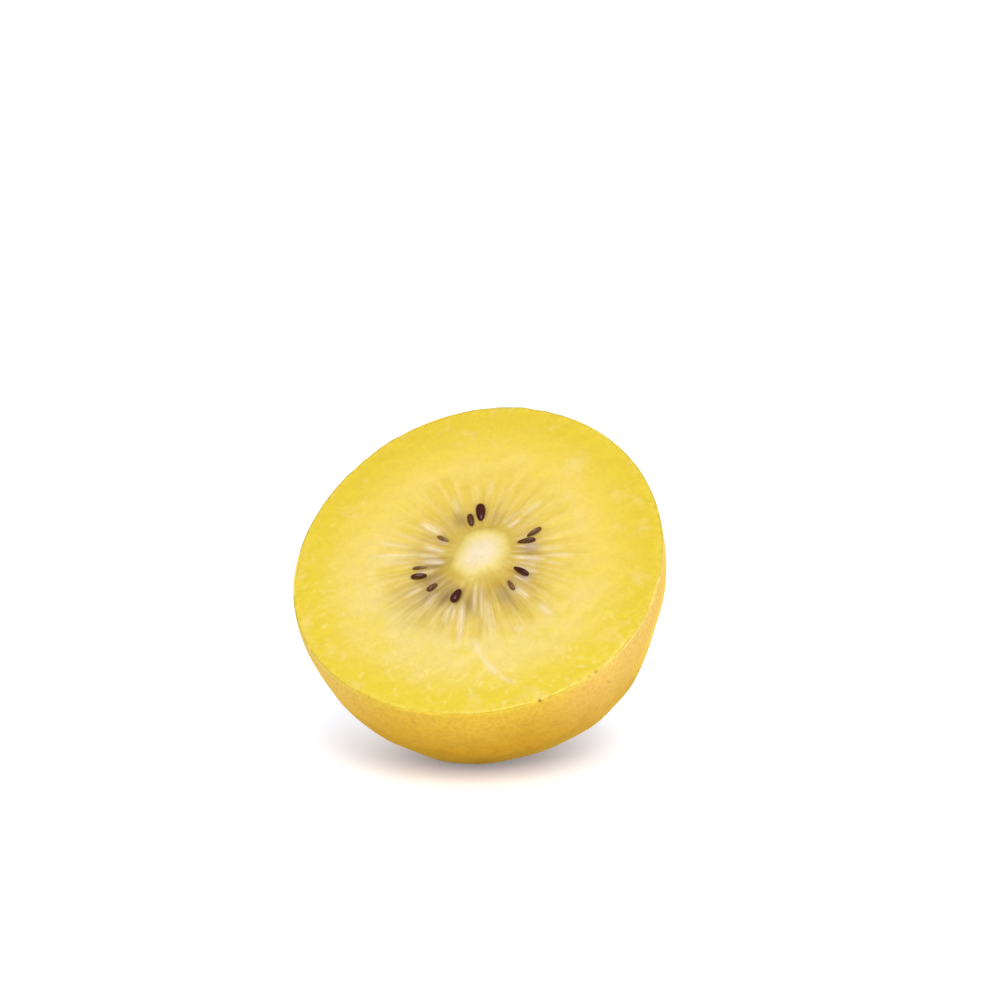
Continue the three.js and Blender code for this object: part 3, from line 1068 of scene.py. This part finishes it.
def skin_material():
    """Thin matt skin: gold near the cut and bronze further down, with fine pale lenticels, painted
    light at its sides and painted shade at the bottom.
    """
    graph = Graph("kiwi skin")
    place = graph.place()
    depth = graph.vector("DOT_PRODUCT", place, (0.0, 0.0, -1.0))
    mottle = graph.noise(place, 0.14, detail=4.0)
    away = graph.times(graph.math("MULTIPLY_ADD", mottle, 5.0, depth), 1 / HALF_LENGTH)
    grain = graph.noise(place, 1.9)
    dots = lenticels(graph, place)
    colour = skin_ground(graph, away, depth, place)
    colour = skin_wear(graph, colour, away, depth, place)
    colour = skin_grain(graph, colour, away, grain)
    graph.set(
        Base_Color=skin_dots(graph, colour, away, place, dots),
        Roughness=graph.remap(grain, 0.3, 0.7, 0.46, 0.64),
        Subsurface_Weight=0.15,
        Subsurface_Radius=(1.0, 0.6, 0.2),
        Subsurface_Scale=0.8 * MM,
        Specular_IOR_Level=0.35,
        Specular_Tint=(1.0, 0.85, 0.45, 1.0),
        Sheen_Weight=0.6,
        Sheen_Roughness=0.28,
        Sheen_Tint=(1.0, 0.7, 0.05, 1.0),
    )
    graph.bump(graph.math("MULTIPLY_ADD", dots, 0.35, grain), 0.35, 0.1)
    return graph.material


def seed_material():
    """A glossy dark maroon seed coat, browner where flesh covers more of it."""
    graph = Graph("kiwi seed")
    place = graph.place()
    patch = graph.noise(place, 1.1)
    dark = graph.mix(graph.remap(patch, 0.4, 0.65), seen(76, 30, 10), seen(82, 34, 24))
    covered = graph.mix(graph.remap(patch, 0.3, 0.7), seen(150, 114, 58), seen(124, 84, 34))
    graph.set(
        Base_Color=graph.mix(graph.remap(graph.mark("free"), 0.26, 0.56), covered, dark),
        Roughness=graph.remap(patch, 0.3, 0.7, 0.26, 0.38),
        Specular_IOR_Level=0.46,
        Specular_Tint=(0.85, 0.7, 1.0, 1.0),
        Coat_Weight=0.06,
        Coat_Roughness=0.15,
    )
    graph.bump(graph.cells(place, 4.0), 0.25, 0.06)
    return graph.material


def scar_material():
    """Dry golden-brown cork, darker in its cracks and in the hole that the stem left."""
    graph = Graph("stem scar cork")
    place = graph.place()
    rough = graph.noise(place, 1.1, detail=5.0, roughness=0.7)
    fine = graph.noise(place, 4.0, detail=4.0, roughness=0.65)
    colour = graph.ramp(
        rough,
        (0.34, (170, 110, 34)),
        (0.48, (214, 158, 66)),
        (0.64, (246, 204, 120)),
    )
    colour = graph.layer(colour, graph.remap(fine, 0.5, 0.7, 0.0, 0.6), (150, 98, 42))
    colour = graph.layer(colour, graph.remap(graph.mark("crack"), 0.15, 0.8), (84, 52, 26))
    colour = graph.layer(colour, graph.mark("hole"), (72, 54, 32))
    graph.set(Base_Color=colour, Roughness=0.85, Specular_IOR_Level=0.2)
    graph.bump(graph.math("ADD", rough, fine), 0.6, 0.25)
    return graph.material


def sepal_material():
    """Dried sepals, brown, paler on the raised ridges and darker between them: partly their own
    wear, partly painted highlight and shade.
    """
    graph = Graph("dried sepal")
    grain = graph.noise(graph.place(), 2.2, detail=5.0, roughness=0.65)
    # The same noise raises the ridges, so this ramp is partly painted highlight on them and painted
    # shade between them.
    colour = graph.ramp(
        grain,
        (0.35, (84, 50, 30)),
        (0.5, (136, 90, 56)),
        (0.65, (190, 142, 92)),
    )
    graph.set(Base_Color=colour, Roughness=0.75, Specular_IOR_Level=0.3)
    graph.bump(grain, 0.5, 0.2)
    return graph.material


def floor_material():
    """A plain pale table top, faintly lit from within as a light table is."""
    graph = Graph("pale floor")
    cloud = graph.noise(graph.place(), 0.02)
    graph.set(
        Base_Color=graph.mix(cloud, (0.86, 0.87, 0.90, 1.0), (0.88, 0.89, 0.92, 1.0)),
        Roughness=0.6,
        Specular_IOR_Level=0.2,
        Emission_Color=(0.85, 0.88, 1.0, 1.0),
        Emission_Strength=0.22,
    )
    return graph.material


# ---- the scene

def view_axes(azimuth, elevation):
    """The direction back towards a viewer, from azimuth 0 in front, along -Y."""
    turn, lift = math.radians(azimuth), math.radians(elevation)
    return Vector((
        math.sin(turn) * math.cos(lift), -math.cos(turn) * math.cos(lift), math.sin(lift),
    ))


def looking(place, towards):
    """The matrix of a camera or lamp at a place, which looks along a direction."""
    side = towards.cross(Vector((0, 0, 1))).normalized()
    top = side.cross(towards)
    matrix = Matrix((side, top, -towards)).transposed().to_4x4()
    matrix.translation = place
    return matrix


def add_camera():
    """The camera at the photograph's viewing angle."""
    back = view_axes(CAMERA_AZIMUTH, CAMERA_ELEVATION)
    side = (-back).cross(Vector((0, 0, 1))).normalized()
    top = side.cross(-back)
    focal = CAMERA_LENS / SENSOR * PICTURE
    right = (CENTRE_PIXEL[0] - PICTURE / 2) / focal
    down = (CENTRE_PIXEL[1] - PICTURE / 2) / focal
    towards = (-back - side * right + top * down).normalized()
    camera = bpy.data.objects.new("camera", bpy.data.cameras.new("camera"))
    camera.data.lens = CAMERA_LENS
    camera.data.sensor_width = SENSOR
    camera.data.clip_start = 0.01
    place = Vector(CUT_CENTRE) * MM + back * CAMERA_DISTANCE * MM
    camera.matrix_world = looking(place, towards)
    bpy.context.scene.collection.objects.link(camera)
    bpy.context.scene.camera = camera


def add_lamp():
    """The one square studio lamp, turned to the fruit."""
    lamp = bpy.data.lights.new("key", "AREA")
    lamp.size = LAMP_SIZE * MM
    lamp.energy = LAMP_POWER
    lamp.color = LAMP_COLOUR
    towards = -view_axes(LAMP_AZIMUTH, LAMP_ELEVATION)
    softbox = bpy.data.objects.new("key", lamp)
    place = Vector(LAMP_AIM) * MM - towards * LAMP_DISTANCE * MM
    softbox.matrix_world = looking(place, towards)
    bpy.context.scene.collection.objects.link(softbox)


def add_world():
    """Even, faintly cool light from all round."""
    world = bpy.data.worlds.new("studio")
    bpy.context.scene.world = world
    world.use_nodes = True
    background = world.node_tree.nodes["Background"]
    background.inputs["Color"].default_value = WORLD_COLOUR
    background.inputs["Strength"].default_value = WORLD_STRENGTH
    world.cycles_visibility.glossy = False


def add_floor():
    """A wide pale floor, just below the fruit."""
    corners = np.array([[-1, -1, 0], [1, -1, 0], [1, 1, 0], [-1, 1, 0]])
    floor = add_mesh("floor", corners * FLOOR_SIZE / 2, [(0, 1, 2, 3)])
    floor.data.materials.append(floor_material())
    floor.visible_glossy = False


def dress(piece, material):
    """Gives a piece its material and sets it in the place of the CAD fruit."""
    piece.data.materials.append(material)
    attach(piece, "root")
    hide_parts("kiwi_half")


def main():
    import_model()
    add_camera()
    add_world()
    add_lamp()
    add_floor()
    dress(make_flesh(), flesh_material())
    dress(make_skin(), skin_material())
    dress(make_seeds(), seed_material())
    dress(make_scar(), scar_material())
    dress(make_sepals(), sepal_material())
    bpy.context.scene.view_settings.view_transform = "Standard"


main()
